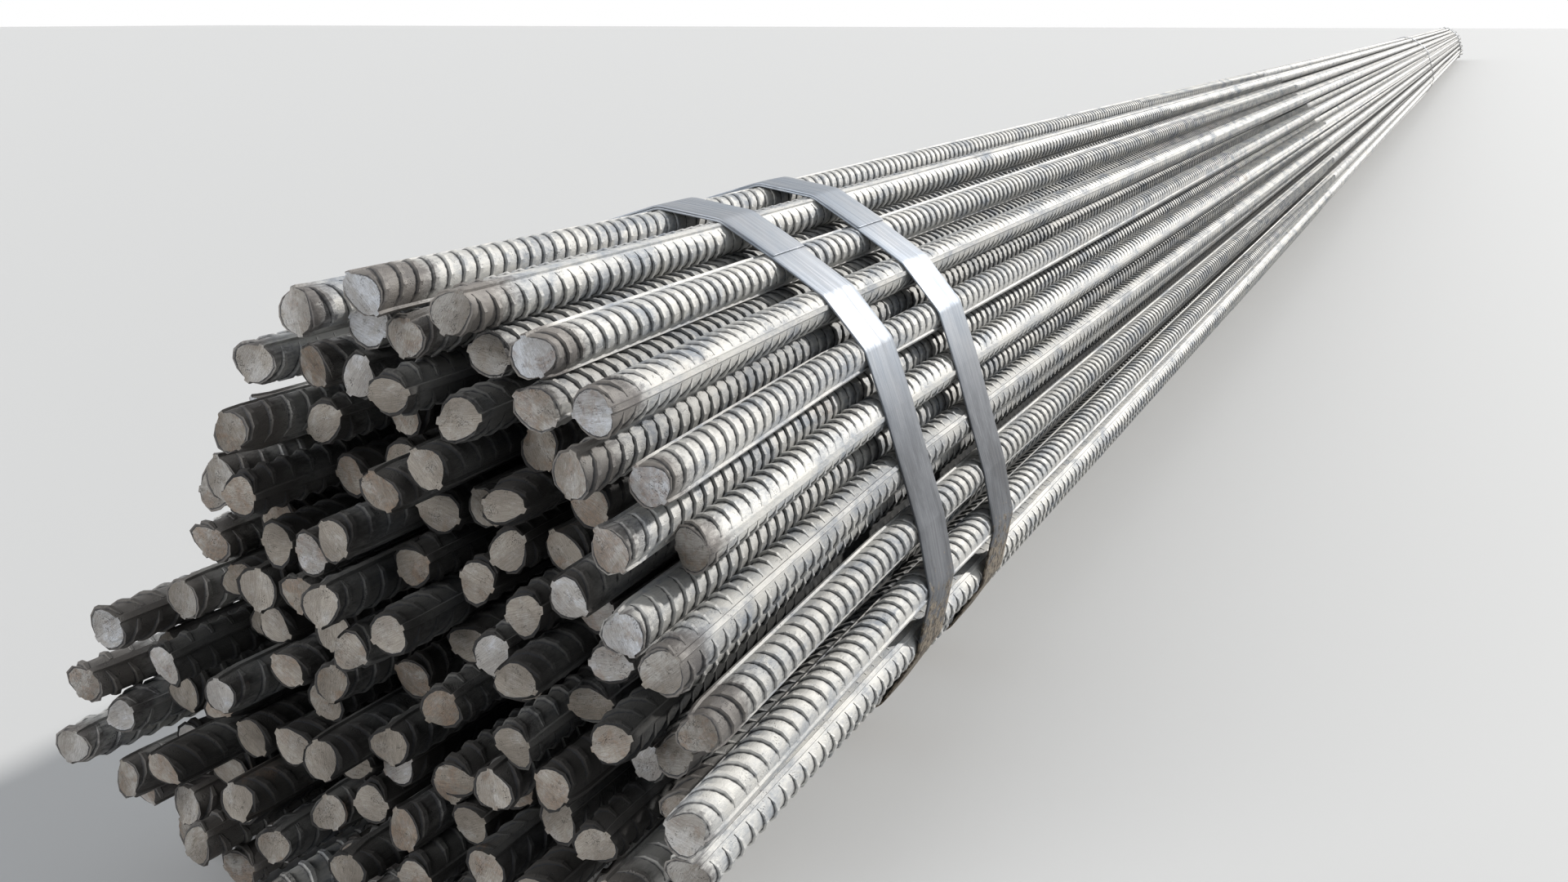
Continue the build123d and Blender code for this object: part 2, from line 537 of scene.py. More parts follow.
cutLook = {  # the scales are per millimetre, as the cut faces are mapped
    "grey": (0.540, 0.495, 0.440),
    "rough": (0.335, 0.298, 0.258),
    "pale": (0.800, 0.795, 0.790),
    "metal": 0.15,
    "roughness": (0.45, 0.75),
    "barShift": (530.0, 170.0),
    "lines": {"Stretch": (0.24, 3.0, 1.0), "Contrast": 2.0},
    "lineDark": (0.20, 0.19, 0.18),
    "lineShare": 0.8,
    "palePatches": {"Scale": 0.2, "Edge": 0.14},
    "paleAmount": (0.5, 0.25),  # what a bar's own number adds, and the least
    "paleShare": 0.9,
    "pits": {"Scale": 2.0, "Depth": 1.8},
    "pitTone": (0.035, 0.03, 0.027),
    "pitShare": 0.75,
    "rustScale": 0.16,
    "rustLots": 73.0,
    "rustAmount": (0.7, 0.1),
    "rustShare": 0.38,
    "tornScale": 0.5,
    "tornRagged": 14.0,
    "tornEdge": (-3.0, 3.6),
    "tornShare": 0.62,
    "tintLots": 377.0,
    "tintDark": (0.66, 0.64, 0.61),
    "tintPale": (1.15, 1.15, 1.15),
    "tintBlue": (1.18, 1.24, 1.34),
    "blueFrom": 0.86,  # of the lots
    "bump": 0.0006,
}


def makeCutSteel():
    look = cutLook
    material, way, shader = newMaterial("cutSteel", look["metal"])
    laid = way.add("UVMap", uv_map="barMap").outputs[0]
    own = way.add("Attribute", attribute_name="barToneAndShade").outputs["Fac"]
    apart = way.add("CombineXYZ")
    way.feed(apart, 0, way.math("MULTIPLY", own, look["barShift"][0]))
    way.feed(apart, 2, way.math("MULTIPLY", own, look["barShift"][1]))
    shifted = way.add("VectorMath", operation="ADD")
    way.feed(shifted, 0, laid)
    way.feed(shifted, 1, apart.outputs[0])
    spot = shifted.outputs[0]
    lines = way.use(streaks, Vector=spot, **look["lines"])
    amount = way.math("MULTIPLY_ADD", own, *look["paleAmount"])
    pale = way.use(patches, Vector=spot, Amount=amount, **look["palePatches"])["Mask"]
    small = way.use(pits, Vector=spot, **look["pits"])
    lot = way.math("FRACT", way.math("MULTIPLY", own, look["rustLots"]))
    amount = way.math("MULTIPLY_ADD", lot, *look["rustAmount"])
    brown = way.use(rust, Vector=spot, Scale=look["rustScale"], Amount=amount)
    # the shear left one side of the face smooth and tore the other
    parts = way.add("SeparateXYZ")
    way.feed(parts, 0, laid)
    fromMiddle = way.math("SUBTRACT", parts.outputs[1], look["tornRagged"] / 2)
    torn = way.noise(spot, look["tornScale"], detail=5, rough=0.65)
    torn = way.math("MULTIPLY_ADD", torn, look["tornRagged"], fromMiddle)
    torn = way.span(torn, *look["tornEdge"], 0.0, look["tornShare"])
    tone = way.lay(look["grey"], look["pale"], pale, look["paleShare"])
    tone = way.mix(torn, tone, look["rough"])
    drawn = way.mix(lines["Tone"], look["lineDark"], (1, 1, 1))
    tone = way.mix(look["lineShare"], tone, drawn, "MULTIPLY")
    lot = way.math("FRACT", way.math("MULTIPLY", own, look["tintLots"]))
    tint = way.mix(lot, look["tintDark"], look["tintPale"])
    tint = way.mix(way.math("GREATER_THAN", lot, look["blueFrom"]), tint, look["tintBlue"])
    tone = way.mix(1.0, tone, tint, "MULTIPLY")
    tone = way.lay(tone, look["pitTone"], small["Mask"], look["pitShare"])
    tone = way.lay(tone, brown["Colour"], brown["Mask"], look["rustShare"])
    rough = way.span(lines["Tone"], *lineReach, look["roughness"][1], look["roughness"][0])
    height = way.math("ADD", lines["Height"], small["Height"])
    way.feed(shader, "Base Color", tone)
    way.feed(shader, "Roughness", rough)
    way.feed(shader, "Normal", way.bump(height, look["bump"]))
    return material


strapLook = {
    "bright": (0.325, 0.340, 0.365),
    "blue": (0.19, 0.235, 0.295),
    # dark: the colour of pits, and of the darkening towards the bottom
    "dark": (0.062, 0.064, 0.070),
    "metal": 0.80,
    "roughness": (0.46, 0.64),
    "lines": {"Stretch": (460.0, 9.0, 9.0), "Contrast": 2.6},
    "lineDark": (0.35, 0.36, 0.38),
    "lineShare": 0.7,
    "blueStretch": (2.0, 1, 1),
    "bluePatches": {"Scale": 24.0, "Amount": 0.5, "Edge": 0.2},
    "blueShare": 0.6,
    "pits": {"Scale": 1500.0, "Depth": 0.8},
    "pitShare": 0.35,
    "rust": {"Scale": 34.0, "Amount": 0.3},
    "rustShare": 0.35,
    "lowDarkHeight": (0.178, 0.112),  # darker from the first height down to the second
    "lowDarkShare": 0.92,
    "lowDarkOffBlue": 0.65,
    "mud": (0.215, 0.180, 0.135),
    "mudDark": (0.040, 0.029, 0.021),
    "mudHeight": (0.105, 0.012),
    "mudSide": (-0.045, -0.105),  # towards the right side
    "mudRagged": 2.0,
    "mudScale": 210.0,
    "mudEdge": (1.38, 1.52),
    "clodScale": 320.0,
    "clodEdge": (0.44, 0.58),
    "mudRoughness": 0.85,
    "mudRaise": 4,
    "bump": 0.00012,
    "bumpStrength": 0.5,
}


def makeStrapSteel():
    look = strapLook
    material, way, shader = newMaterial("strapSteel", look["metal"])
    spot = way.add("TexCoord").outputs["Object"]
    lines = way.use(streaks, Vector=spot, **look["lines"])
    wide = way.stretch(spot, look["blueStretch"])
    blue = way.use(patches, Vector=wide, **look["bluePatches"])["Mask"]
    small = way.use(pits, Vector=spot, **look["pits"])
    stain = way.use(rust, Vector=spot, **look["rust"])
    axes = way.add("SeparateXYZ")
    way.feed(axes, 0, spot)
    low = way.span(axes.outputs[2], *look["mudHeight"])
    right = way.span(axes.outputs[1], *look["mudSide"])
    # darker towards the bottom of the strap, less where it is blue
    lowSpan = way.span(axes.outputs[2], *look["lowDarkHeight"], 0.0, look["lowDarkShare"])
    ragged = way.noise(spot, look["mudScale"], detail=7, rough=0.75)
    mud = way.math("MULTIPLY_ADD", ragged, look["mudRagged"], way.math("MULTIPLY", low, right))
    mud = way.span(mud, *look["mudEdge"])
    tone = way.lay(look["bright"], look["blue"], blue, look["blueShare"])
    drawn = way.mix(lines["Tone"], look["lineDark"], (1, 1, 1))
    tone = way.mix(look["lineShare"], tone, drawn, "MULTIPLY")
    tone = way.lay(tone, look["dark"], small["Mask"], look["pitShare"])
    lowDarkening = way.math("MULTIPLY", lowSpan, way.span(blue, 0.0, 1.0, look["lowDarkOffBlue"], 1.0))
    tone = way.mix(lowDarkening, tone, look["dark"])
    tone = way.lay(tone, stain["Colour"], stain["Mask"], look["rustShare"])
    clods = way.span(way.noise(spot, look["clodScale"], detail=6, rough=0.7), *look["clodEdge"])
    tone = way.mix(mud, tone, way.mix(clods, look["mud"], look["mudDark"]))
    rough = way.span(lines["Tone"], *lineReach, look["roughness"][1], look["roughness"][0])
    rough = way.math("MAXIMUM", rough, way.math("MULTIPLY", mud, look["mudRoughness"]))
    metal = way.math("MULTIPLY_ADD", mud, -look["metal"], look["metal"])
    height = way.math("ADD", lines["Height"], small["Height"])
    height = way.math("ADD", height, way.math("MULTIPLY", mud, look["mudRaise"]))
    way.feed(shader, "Base Color", tone)
    way.feed(shader, "Roughness", rough)
    way.feed(shader, "Metallic", metal)
    way.feed(shader, "Normal", way.bump(height, look["bump"], look["bumpStrength"]))
    return material


barSteel = makeBarSteel("barSteel", False)
barSteelRibbed = makeBarSteel("barSteelRibbed", True)
cutSteel = makeCutSteel()
strapSteel = makeStrapSteel()
print("materials are made")


ringNames = sorted(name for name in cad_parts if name.startswith("bars_ring"))


def readLines(nodeName):
    # each bar's centre at its near end, two bends and far end, from a merged copy of the node
    deselectAll()
    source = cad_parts[nodeName]
    spare = source.copy()
    spare.data = source.data.copy()
    bpy.context.collection.objects.link(spare)
    spare.select_set(True)
    bpy.context.view_layer.objects.active = spare
    bpy.ops.object.mode_set(mode="EDIT")
    bpy.ops.mesh.select_all(action="SELECT")
    bpy.ops.mesh.remove_doubles(threshold=1e-6)
    bm = bmesh.from_edit_mesh(spare.data)
    bm.verts.ensure_lookup_table()
    lines, seen = [], set()
    for vert in bm.verts:
        if vert.index in seen:
            continue
        seen.add(vert.index)
        island, toVisit = [], [vert]
        while toVisit:
            here = toVisit.pop()
            island.append(here.co.copy())
            for edge in here.link_edges:
                other = edge.other_vert(here)
                if other.index not in seen:
                    seen.add(other.index)
                    toVisit.append(other)
        island = np.array(sorted(island, key=lambda co: co.x))
        stations = np.array_split(island, 4)
        lines.append(np.array([part.mean(axis=0) for part in stations]))
    bpy.ops.object.mode_set(mode="OBJECT")
    bpy.data.objects.remove(spare)
    return lines


barShape = {
    "length": 12.0,
    "core": 0.0067,
    "sides": 20,
    "plainSides": 16,  # on bars that are seen less
    "longRib": 0.0009,
    "longRibNarrow": 0.8,
    "bendSoftness": 0.03,
    "endRound": 0.05,
    "endTilt": 0.16,
    "endSquash": 0.19,
    "endWave": 0.088,  # how uneven the outline is at the cut
    "thirdWave": 0.7,  # share of the three-sided wave in that
    "rollOver": 0.0014,  # how far the shear dragged one side round
    "leastShear": 0.1,
    "endSetBack": 0.0006,
    "endReach": 0.010,  # from the cut, along the bar
    "endFade": 1.5,
    "rollReach": 0.003,
    "roundReach": 0.0007,
    "reliefReach": 0.0006,
    "bulgeReach": 0.0001,
    "bulge": (-0.0004, 0.0006),
    "cutRelief": 0.00022,
    "reliefWaves": (420, 370),
    "endInsets": (0.0009, 0.0018, 0.0018),
    "twist": 0.5,
    # the body counts as a rib's crest, so it gets none of the painted shade at rib feet
    "bodyRibRise": 1.0,
    "smoothAngle": 40,
}
ribShape = {
    "pitch": 0.009,
    "height": 0.00100,
    "base": 0.0038,
    "crest": 0.52,  # share of the base
    "lean": 0.0036,  # how far a rib's end lies along the bar from its middle
    "reach": 1.30,  # radians either side of the middle
    "fullness": 1.12,
    "taper": 2.1,
    "narrowing": 0.55,
    "sunk": 0.00012,  # its foot lies this deep in the bar
    "smoothAngle": 28,
    "underStrap": 0.00738,  # most radius where a strap lies
    "besideStrap": 0.001,
}
halfBar = barShape["length"] / 2


def modelBar(sides, stations, nearRibs, farRibs):
    # a round with two long ribs, cut into stretches, its ends inset and closed to a point.
    # between the two reaches its ribs are bump
    deselectAll()
    bpy.ops.mesh.primitive_cylinder_add(
        vertices=sides, radius=barShape["core"], depth=barShape["length"], rotation=(0, math.pi / 2, 0),
    )
    bar = bpy.context.object
    bpy.ops.object.transform_apply(location=False, rotation=True, scale=False)
    bar.data.transform(Matrix.Rotation(math.pi / sides, 4, "X"))
    bpy.ops.object.mode_set(mode="EDIT")
    pick(bar, "faces", lambda face: abs(face.normal.y) > 0.999)
    bpy.ops.mesh.extrude_region_shrink_fatten(TRANSFORM_OT_shrink_fatten={"value": barShape["longRib"]})
    bpy.ops.transform.resize(value=(1, 1, barShape["longRibNarrow"]))
    pick(bar, "faces", lambda face: abs(face.normal.x) > 0.99 and len(face.verts) == sides)
    for thick in barShape["endInsets"]:
        bpy.ops.mesh.inset(thickness=thick, use_individual=True)
    bpy.ops.mesh.poke()
    for place in stations:
        bpy.ops.mesh.select_all(action="SELECT")
        bpy.ops.mesh.bisect(plane_co=(place, 0, 0), plane_no=(1, 0, 0))
    bpy.ops.object.mode_set(mode="OBJECT")
    bpy.ops.object.shade_smooth_by_angle(angle=math.radians(barShape["smoothAngle"]))
    mapBar(bar, -halfBar + ribReach[nearRibs], halfBar - ribReach[farRibs])
    return bar


def mapBar(bar, bumpFrom, bumpTo):
    # U counts rib pitches along, V counts turns; the cut faces are laid out flat, in millimetres
    mesh = bar.data
    if mesh.uv_layers:
        mesh.uv_layers.remove(mesh.uv_layers[0])
    layer = mesh.uv_layers.new(name="barMap")
    mesh.attributes.new("barToneAndShade", "FLOAT", "POINT")
    # the share of the way up a rib, for the painted shade at rib feet; the body counts as a crest
    riseUpRib = mesh.attributes.new("ribRise", "FLOAT", "POINT")
    riseUpRib.data.foreach_set("value", np.full(len(mesh.vertices), barShape["bodyRibRise"], np.float32))
    for material in (barSteel, barSteelRibbed, cutSteel):
        mesh.materials.append(material)
    ribbedSlot, cutSlot = 1, 2
    for face in mesh.polygons:
        centre = face.center
        if abs(face.normal.x) > 0.9:
            face.material_index = cutSlot
            for loop in face.loop_indices:
                co = mesh.vertices[mesh.loops[loop].vertex_index].co
                layer.data[loop].uv = (co.y * 1000, co.z * 1000)
            continue
        if bumpFrom < centre.x < bumpTo:
            face.material_index = ribbedSlot
        middle = math.atan2(centre.z, centre.y)
        for loop in face.loop_indices:
            co = mesh.vertices[mesh.loops[loop].vertex_index].co
            turn = math.atan2(co.z, co.y)
            turn += 2 * math.pi * round((middle - turn) / (2 * math.pi))
            layer.data[loop].uv = ((co.x + halfBar) / ribShape["pitch"], turn / (2 * math.pi))


def modelRibPair(around):
    # two crescents, one on each side of the bar, leaning opposite ways
    deselectAll()
    bpy.ops.mesh.primitive_grid_add(x_subdivisions=3, y_subdivisions=around, size=1)
    rib = bpy.context.object
    bpy.ops.object.mode_set(mode="EDIT")
    pick(rib, "verts", lambda vert: abs(vert.co.x) < 0.49)
    bpy.ops.transform.translate(value=(0, 0, 1))
    bpy.ops.transform.resize(value=(ribShape["crest"] * 3, 1, 1))
    bpy.ops.object.mode_set(mode="OBJECT")
    points = pointsOf(rib.data)
    across = points[:, 1] * 2
    taper = np.clip(ribShape["fullness"] * (1 - np.abs(across) ** ribShape["taper"]), 0, 1)
    height = points[:, 2] * taper * ribShape["height"]
    width = ribShape["base"] * (1 - ribShape["narrowing"] * across**2)
    angle = across * ribShape["reach"]
    radius = barShape["core"] - ribShape["sunk"] + height + ribShape["sunk"] * points[:, 2]
    radius = radius * (1 + 1 / math.cos(ribShape["reach"] / around)) / 2
    # the share of the way up the rib, 0 at its foot, for the steel's painted shade
    riseUpRib = rib.data.attributes.new("ribRise", "FLOAT", "POINT")
    riseUpRib.data.foreach_set("value", points[:, 2].astype(np.float32))
    sides = []
    for side in (1, -1):
        x = points[:, 0] * width + side * across * ribShape["lean"] - (side < 0) * ribShape["pitch"] / 2
        turn = side * math.pi / 2 + angle
        sides.append(np.stack([x, radius * np.cos(turn), radius * np.sin(turn)], axis=1))
    other = rib.copy()
    other.data = rib.data.copy()
    bpy.context.collection.objects.link(other)
    setPoints(rib.data, sides[0])
    setPoints(other.data, sides[1])
    pair = joinAll([rib, other], "ribPair")
    faceOutward(pair)
    bpy.ops.object.shade_smooth_by_angle(angle=math.radians(ribShape["smoothAngle"]))
    return pair


def ribRow(pair, low, high):
    # a row of rib pairs from low to high, in metres from the near end
    deselectAll()
    row = pair.copy()
    row.data = pair.data.copy()
    bpy.context.collection.objects.link(row)
    row.select_set(True)
    bpy.context.view_layer.objects.active = row
    first = math.ceil(low / ribShape["pitch"] - 1e-6)
    count = math.ceil(high / ribShape["pitch"] - 1e-6) - first
    array = row.modifiers.new("row", "ARRAY")
    array.use_relative_offset = False
    array.use_constant_offset = True
    array.constant_offset_displace = (ribShape["pitch"], 0, 0)
    array.count = count
    bpy.ops.object.modifier_apply(modifier="row")
    points = pointsOf(row.data)
    points[:, 0] += first * ribShape["pitch"] - halfBar
    setPoints(row.data, points)
    row.data.uv_layers[0].name = "barMap"
    corners = np.empty(len(row.data.loops), int)
    row.data.loops.foreach_get("vertex_index", corners)
    turns = np.arctan2(points[corners, 2], points[corners, 1]) / (2 * math.pi)
    laid = np.stack([(points[corners, 0] + halfBar) / ribShape["pitch"], turns], axis=1)
    row.data.uv_layers[0].data.foreach_set("uv", laid.ravel())
    row.data.attributes.new("barToneAndShade", "FLOAT", "POINT")
    row.data.materials.append(barSteel)
    return row


strapBoxes = [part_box(name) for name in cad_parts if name.startswith("strap")]


def softStep(gap, width):
    # 0 past the bend, gap before it, with a smooth turn between
    return np.where(gap > width, 0, np.where(gap < -width, gap, -((width - gap) ** 2) / (4 * width)))


def fade(gap, reach):
    # 1 at the cut, 0 from the reach on
    return np.clip(1 - gap / reach, 0, 1)


def layOn(mesh, line, own, straps=False):
    # moves a template's vertices onto one bar of the frame
    points = pointsOf(mesh)
    x, y, z = points.T.copy()
    x = np.clip(x, -halfBar, halfBar)
    turn = own["roll"] + own["twist"] * (x + halfBar)
    y, z = y * np.cos(turn) - z * np.sin(turn), y * np.sin(turn) + z * np.cos(turn)
    for end, cut in ((-1, own["nearEnd"]), (1, own["farEnd"])):
        gap = halfBar - end * x
        near = fade(gap, barShape["endReach"]) ** barShape["endFade"]
        a, b = math.cos(cut["shearWay"]), math.sin(cut["shearWay"])
        along = y * a + z * b
        squash = barShape["endSquash"] * cut["shear"] * near * along
        rounding = 1 - barShape["endRound"] * fade(gap, barShape["roundReach"])
        bearing = np.arctan2(z, y)
        outline = np.sin(2 * bearing + cut["secondPhase"])
        outline = outline + barShape["thirdWave"] * np.sin(3 * bearing + cut["thirdPhase"])
        rounding = rounding * (1 + barShape["endWave"] * near * outline)
        over = np.clip(along / barShape["core"], 0, 1) ** 2 * fade(gap, barShape["rollReach"])
        x = x - end * barShape["rollOver"] * cut["shear"] * over
        waveY, waveZ = barShape["reliefWaves"]
        uneven = np.sin(y * waveY + cut["secondPhase"]) * np.sin(z * waveZ + cut["thirdPhase"])
        x = x + barShape["cutRelief"] * uneven * fade(gap, barShape["reliefReach"])
        bulge = cut["bulge"] * fade(gap, barShape["bulgeReach"])
        bulge = bulge * (1 - (y * y + z * z) / barShape["core"] ** 2)
        y, z = (y - squash * a) * rounding, (z - squash * b) * rounding
        leaning = near * barShape["endTilt"] * (cut["leanY"] * y + cut["leanZ"] * z)
        x = x + leaning - end * barShape["endSetBack"] * near + end * bulge
    length = line[3][0] - line[0][0]
    x = line[0][0] + (x + halfBar) * length / barShape["length"]
    if straps:
        reach = np.hypot(y, z)
        for low, high in strapBoxes:
            margin = ribShape["besideStrap"]
            under = (x > low[0] - margin) & (x < high[0] + margin)
            limit = np.where(under, np.minimum(1, ribShape["underStrap"] / np.maximum(reach, 1e-9)), 1)
            y, z = y * limit, z * limit
    soft = barShape["bendSoftness"]
    nearSlope = (line[1] - line[0]) / (line[1][0] - line[0][0])
    farSlope = (line[3] - line[2]) / (line[3][0] - line[2][0])
    nearPart = softStep(x - line[1][0], soft)
    farPart = -softStep(line[2][0] - x, soft)
    y = y + line[1][1] + nearSlope[1] * nearPart + farSlope[1] * farPart
    z = z + line[1][2] + nearSlope[2] * nearPart + farSlope[2] * farPart
    setPoints(mesh, np.stack([x, y, z], axis=1))
    tone = mesh.attributes["barToneAndShade"].data
    tone.foreach_set("value", np.full(len(mesh.vertices), own["tone"], np.float32))


def copyOf(template, name):
    twin = template.copy()
    twin.data = template.data.copy()
    twin.name = name
    bpy.context.collection.objects.link(twin)
    return twin


ribReach = {
    "fine": 0.60,  # metres of modelled ribs from the near end
    "seen": 2.10,  # on the bars that face the camera
    "unseen": 0.60,
    "recessed": 2.10,
    "plain": 1.20,  # the fine and plain rows end here, the distant one goes on
    "farEnd": 0.30,
    "innerNear": 0.14,
    "innerFar": 0.06,
}
# where a bar is cut into stretches: metres from an end, and steps from the near end
endCuts = [0.0007, 0.004, 0.010]
bends = [0.150, 0.170, 0.185, 0.200, 0.220]
innerBends = [0.17, 0.2]
seenSteps = [0.35, 0.5, 0.8, 1.1, 1.5, 2.0, 3.0, 3.6, 4.3, 5.0, 5.8, 6.6, 7.5, 8.4, 9.3, 10.2, 11.0]
unseenSteps = seenSteps[2::2]
innerSteps = [2.0, 4.0, 6.0, 8.0, 10.0]


def stationsFor(ribsEnd, steps):
    near = [-halfBar + gap for gap in endCuts + bends + [ribReach[ribsEnd]]]
    far = [halfBar - gap for gap in endCuts + bends + [ribReach["farEnd"]]]
    spaced = [-halfBar + step for step in steps]
    return sorted(set(round(place, 5) for place in near + far + spaced))


barSeen = modelBar(barShape["sides"], stationsFor("seen", seenSteps), "seen", "farEnd")
barUnseen = modelBar(barShape["plainSides"], stationsFor("unseen", unseenSteps), "unseen", "farEnd")
barRecessed = modelBar(
    barShape["plainSides"], stationsFor("recessed", unseenSteps), "recessed", "innerFar",
)
innerStations = [-halfBar + gap for gap in endCuts + [ribReach["innerNear"]] + innerBends + innerSteps]
innerStations += [halfBar - gap for gap in [endCuts[0], ribReach["innerFar"]] + innerBends]
barInner = modelBar(barShape["plainSides"], sorted(innerStations), "innerNear", "innerFar")

ribSteps = {"fine": 6, "plain": 5, "distant": 3}  # faces round each crescent
ribPairs = {kind: modelRibPair(steps) for kind, steps in ribSteps.items()}
wholeBar = barShape["length"]
rowPlan = {  # the kind of ribs, and from where to where, in metres from the near end
    "fine": ("fine", 0, ribReach["fine"]),
    "plain": ("plain", ribReach["fine"], ribReach["plain"]),
    "distant": ("distant", ribReach["plain"], ribReach["seen"]),
    "unseen": ("plain", 0, ribReach["unseen"]),
    "recessed": ("distant", ribReach["unseen"], ribReach["recessed"]),
    "far": ("plain", wholeBar - ribReach["farEnd"], wholeBar),
    "innerNear": ("plain", 0, ribReach["innerNear"]),
    "innerFar": ("plain", wholeBar - ribReach["innerFar"], wholeBar),
}
rows = {name: ribRow(ribPairs[kind], low, high) for name, (kind, low, high) in rowPlan.items()}
print("one bar and its ribs are modelled")


def ownLook(bright):
    # what differs from bar to bar
    def ownEnd():
        return {
            "leanY": dice.uniform(-1, 1),
            "leanZ": dice.uniform(-1, 1),
            "shearWay": dice.uniform(0, 2 * math.pi),
            "shear": dice.uniform(barShape["leastShear"], 1),
            "bulge": dice.uniform(*barShape["bulge"]),
            "secondPhase": dice.uniform(0, 2 * math.pi),
            "thirdPhase": dice.uniform(0, 2 * math.pi),
        }
    return {
        "roll": dice.uniform(0, 2 * math.pi),
        "twist": dice.uniform(-1, 1) * barShape["twist"],
        "nearEnd": ownEnd(),
        "farEnd": ownEnd(),
        "tone": dice.uniform(*bright),
    }


def makeBar(line, body, ribRows, bright, straps=False):
    own = ownLook(bright)
    parts = []
    for template in [body] + [rows[row] for row in ribRows]:
        part = copyOf(template, "bar")
        layOn(part.data, line, own, straps)
        parts.append(part)
    return parts


def finishPiece(parts, name, *nodes):
    piece = joinAll(parts, name)
    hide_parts(*nodes)
    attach(piece, "root")
    tris = sum(len(face.vertices) - 2 for face in piece.data.polygons)
    print(name, "is laid,", tris, "triangles")


# ring 1 goes in sectors, round from the floor on the right side
outerLines = readLines("bars_ring_1")
middle = np.mean([line[1] for line in outerLines], axis=0)


def roundPlace(line):
    away = line[1] - middle
    return math.atan2(away[2], away[1])


cameraSide = {"across": -0.74, "up": 0.67, "least": -0.2}


def facesCamera(line):
    away = line[1] - middle
    away = away / np.linalg.norm(away[1:])
    return away[1] * cameraSide["across"] + away[2] * cameraSide["up"] > cameraSide["least"]


seenPieces = 3
# each bar's random tone lies in a range that also paints shade: darker on the side away from the camera,
# and the deeper a ring lies in the bundle
toneAndDepthShade = {  # how bright a bar may be
    "outer": (0.62, 1.0),
    "outerUnseen": (0.5, 0.9),
    "recessed": (0.35, 0.8),
    "hidden": (0.2, 0.6),
    "inner": (0.02, 0.15),
}
outerLines.sort(key=roundPlace)
seenLines = [line for line in outerLines if facesCamera(line)]
share = math.ceil(len(seenLines) / seenPieces)
for number in range(seenPieces):
    parts = []
    for line in seenLines[number * share:(number + 1) * share]:
        parts += makeBar(line, barSeen, ["fine", "plain", "distant", "far"], toneAndDepthShade["outer"], True)
    finishPiece(parts, f"outerBars_{number + 1}", "bars_ring_1")
parts = []
for line in outerLines:
    if not facesCamera(line):
        parts += makeBar(line, barUnseen, ["unseen", "far"], toneAndDepthShade["outerUnseen"], True)
finishPiece(parts, "outerBars_4", "bars_ring_1")
recessed, hidden = [], []
for line in readLines("bars_ring_2"):
    if facesCamera(line):
        recessed += makeBar(line, barRecessed, ["unseen", "recessed", "innerFar"], toneAndDepthShade["recessed"])
    else:
        hidden += makeBar(line, barInner, ["innerNear", "innerFar"], toneAndDepthShade["hidden"])
finishPiece(recessed, "recessedBars", "bars_ring_2")
finishPiece(hidden, "innerBars_2", "bars_ring_2")
for nodeName in ringNames[2:]:
    parts = []
    for line in readLines(nodeName):
        parts += makeBar(line, barInner, ["innerNear", "innerFar"], toneAndDepthShade["inner"])
    finishPiece(parts, nodeName.replace("bars_ring", "innerBars"), nodeName)
for template in [barSeen, barUnseen, barRecessed, barInner, *ribPairs.values(), *rows.values()]:
    bpy.data.objects.remove(template)


strapShape = {
    "width": 0.032,
    "thick": 0.0009,
    "seat": 0.00741,  # from a bar's centre to the strap's inner face
    "lapRight": -0.052,
    "lapLeft": 0.040,
    "climb": 0.014,
    "edge": 0.00022,
    "wave": 0.00018,
    "columns": 6,
    "arcPoints": 3,  # round each bar
    "lapGap": 0.00004,
    "wavesAlong": 23,
    "waveApart": 9,
    "edgeSteps": 2,
    "edgeAngle": 50,
    "smoothAngle": 30,
    "crownHeight": 0.16,  # the lap's ends lie above this
    "insideHeight": 0.1,  # a place inside the loop, to tell outward from inward
}
strapTurns = {
    "strap_front_outer": 1.5,
    "strap_front_inner": -2.0,
    "strap_middle": 3.0,
    "strap_back_inner": 2.0,
    "strap_back_outer": -1.5,
}


def tightPath():
    # the line pulled tight round the outer bars: its points and outward directions,
    # from the left over the top to the right
    centres = sorted({(round(line[1][1], 6), round(line[1][2], 6)) for line in outerLines})

    def half(spots):
        kept = []
        for spot in spots:
            while len(kept) > 1:
                (ay, az), (by, bz) = kept[-2], kept[-1]
                if (by - ay) * (spot[1] - az) - (bz - az) * (spot[0] - ay) > 1e-10:
                    break
                kept.pop()
            kept.append(spot)
        return kept[:-1]

    hull = half(centres) + half(centres[::-1])  # anticlockwise, seen from +X
    hull = np.array(hull[::-1])
    count, arcPoints = len(hull), strapShape["arcPoints"]
    points, normals = [], []
    for i in range(count):
        before, here, after = hull[i - 1], hull[i], hull[(i + 1) % count]
        turns = []
        for start, end in ((before, here), (here, after)):
            run = (end - start) / np.linalg.norm(end - start)
            turns.append(math.atan2(run[0], -run[1]))
        first, last = turns
        last = first + (last - first + math.pi) % (2 * math.pi) - math.pi
        for step in range(arcPoints):
            angle = first + (last - first) * step / (arcPoints - 1)
            out = np.array([math.cos(angle), math.sin(angle)])
            normals.append(out)
            points.append(here)
    return np.array(points), np.array(normals)


pathCentres, pathNormals = tightPath()
outFlip = 1 if np.dot(pathNormals[0], pathCentres[0] - pathCentres.mean(axis=0)) > 0 else -1
pathNormals = pathNormals * outFlip


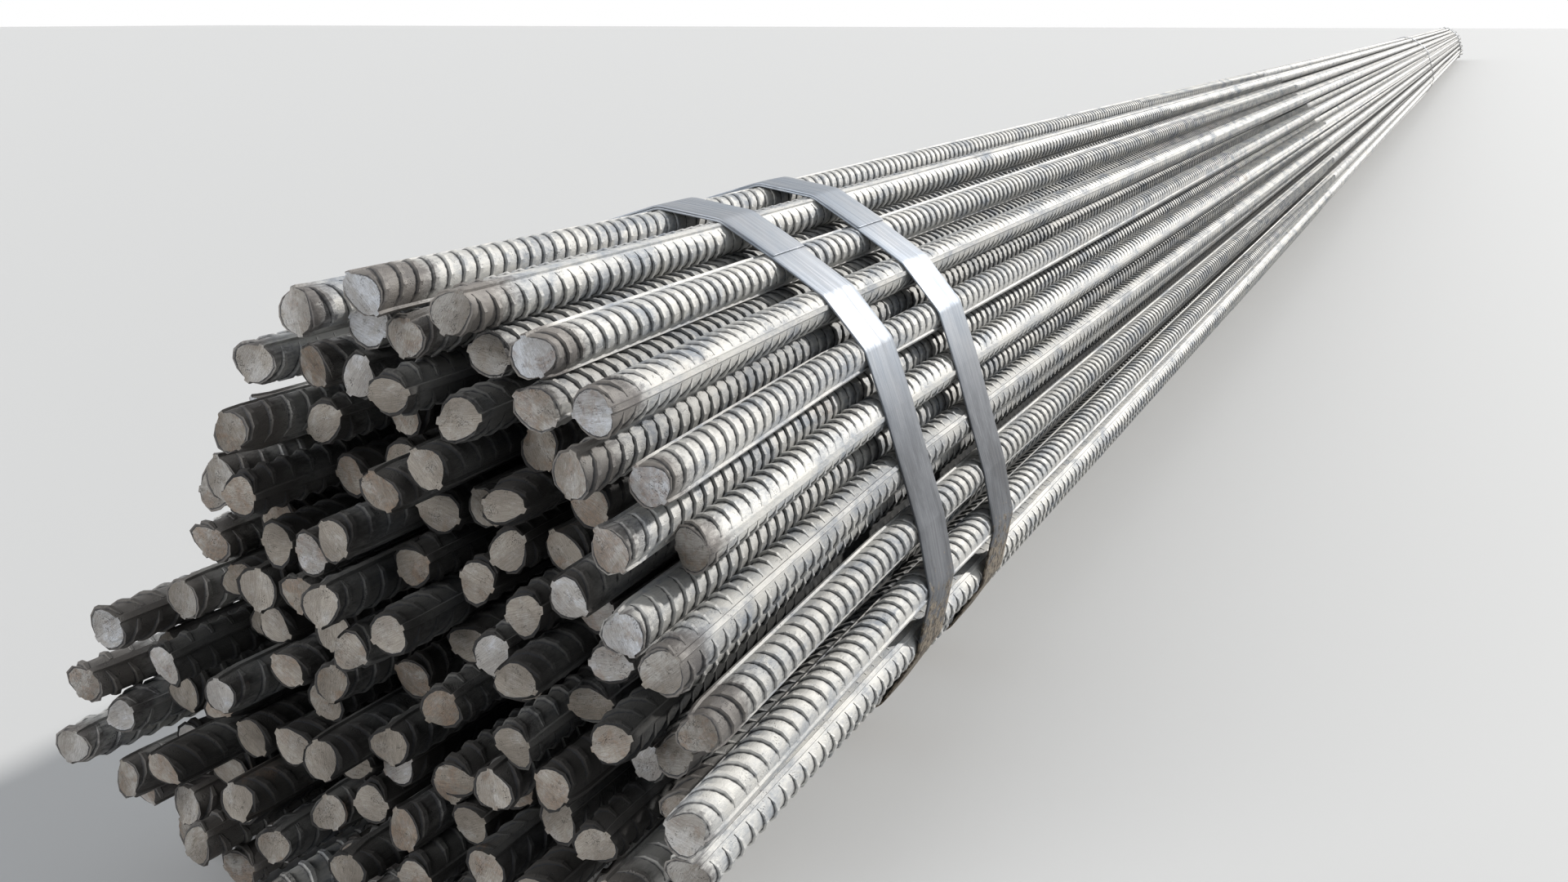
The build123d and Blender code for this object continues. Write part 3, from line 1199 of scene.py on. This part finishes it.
def modelStrap(name):
    # one strip, wound once round and lapped over its own end on the crown
    lowest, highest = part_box(name)
    place = (lowest[0] + highest[0]) / 2
    centreY = (lowest[1] + highest[1]) / 2
    skew = math.tan(math.radians(strapTurns[name]))
    seat = pathCentres + pathNormals * strapShape["seat"]
    steps = np.linalg.norm(np.roll(seat, -1, axis=0) - seat, axis=1)
    travel = np.concatenate([[0], np.cumsum(steps)])
    loop = travel[-1]
    high = seat[:, 1] > strapShape["crownHeight"]
    order = np.where(high)[0]
    start = order[np.argmin(np.abs(seat[order, 0] - strapShape["lapLeft"]))]
    stop = order[np.argmin(np.abs(seat[order, 0] - strapShape["lapRight"]))]
    count = len(seat)
    trail = [start]
    step = 1 if seat[(start + strapShape["arcPoints"]) % count, 0] < seat[start, 0] else -1
    while len(trail) < count or trail[-1] != stop:
        trail.append((trail[-1] + step) % count)
    spots, outs = seat[trail], pathNormals[trail]
    gone = np.concatenate([[0], np.cumsum(np.linalg.norm(np.diff(spots, axis=0), axis=1))])
    rise = np.clip((gone - loop + strapShape["climb"]) / strapShape["climb"], 0, 1)
    rise = rise * rise * (3 - 2 * rise) * (strapShape["thick"] + strapShape["lapGap"])
    keep = np.concatenate([[True], np.diff(gone) > 1e-5])
    spots, outs, gone, rise = spots[keep], outs[keep], gone[keep], rise[keep]

    deselectAll()
    bpy.ops.mesh.primitive_grid_add(
        x_subdivisions=strapShape["columns"], y_subdivisions=len(spots) - 1, size=1,
    )
    strap = bpy.context.object
    strap.name = strap.data.name = "visual_" + name
    grid = pointsOf(strap.data)
    row = np.rint((grid[:, 1] + 0.5) * (len(spots) - 1)).astype(int)
    side = grid[:, 0] * strapShape["width"]
    phase = gone[row] * strapShape["wavesAlong"] + place * strapShape["waveApart"]
    wave = strapShape["wave"] * np.sin(phase) * (2 * grid[:, 0]) ** 2
    lift = rise[row] - np.abs(wave)
    yz = spots[row] + outs[row] * lift[:, None]
    x = place + side - (yz[:, 0] - centreY) * skew
    setPoints(strap.data, np.stack([x, yz[:, 0], yz[:, 1]], axis=1))
    faceOutward(strap, strapShape["insideHeight"])
    solid = strap.modifiers.new("steel", "SOLIDIFY")
    solid.thickness = strapShape["thick"]
    solid.offset = 1
    solid.use_even_offset = True
    bpy.ops.object.modifier_apply(modifier="steel")
    edge = strap.modifiers.new("edges", "BEVEL")
    edge.width = strapShape["edge"]
    edge.segments = strapShape["edgeSteps"]
    edge.limit_method = "ANGLE"
    edge.angle_limit = math.radians(strapShape["edgeAngle"])
    bpy.ops.object.modifier_apply(modifier="edges")
    bpy.ops.object.shade_smooth_by_angle(angle=math.radians(strapShape["smoothAngle"]))
    strap.data.materials.clear()
    strap.data.materials.append(strapSteel)
    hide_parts(name)
    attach(strap, "root")


for strapName in strapTurns:
    modelStrap(strapName)
print("straps are wound")
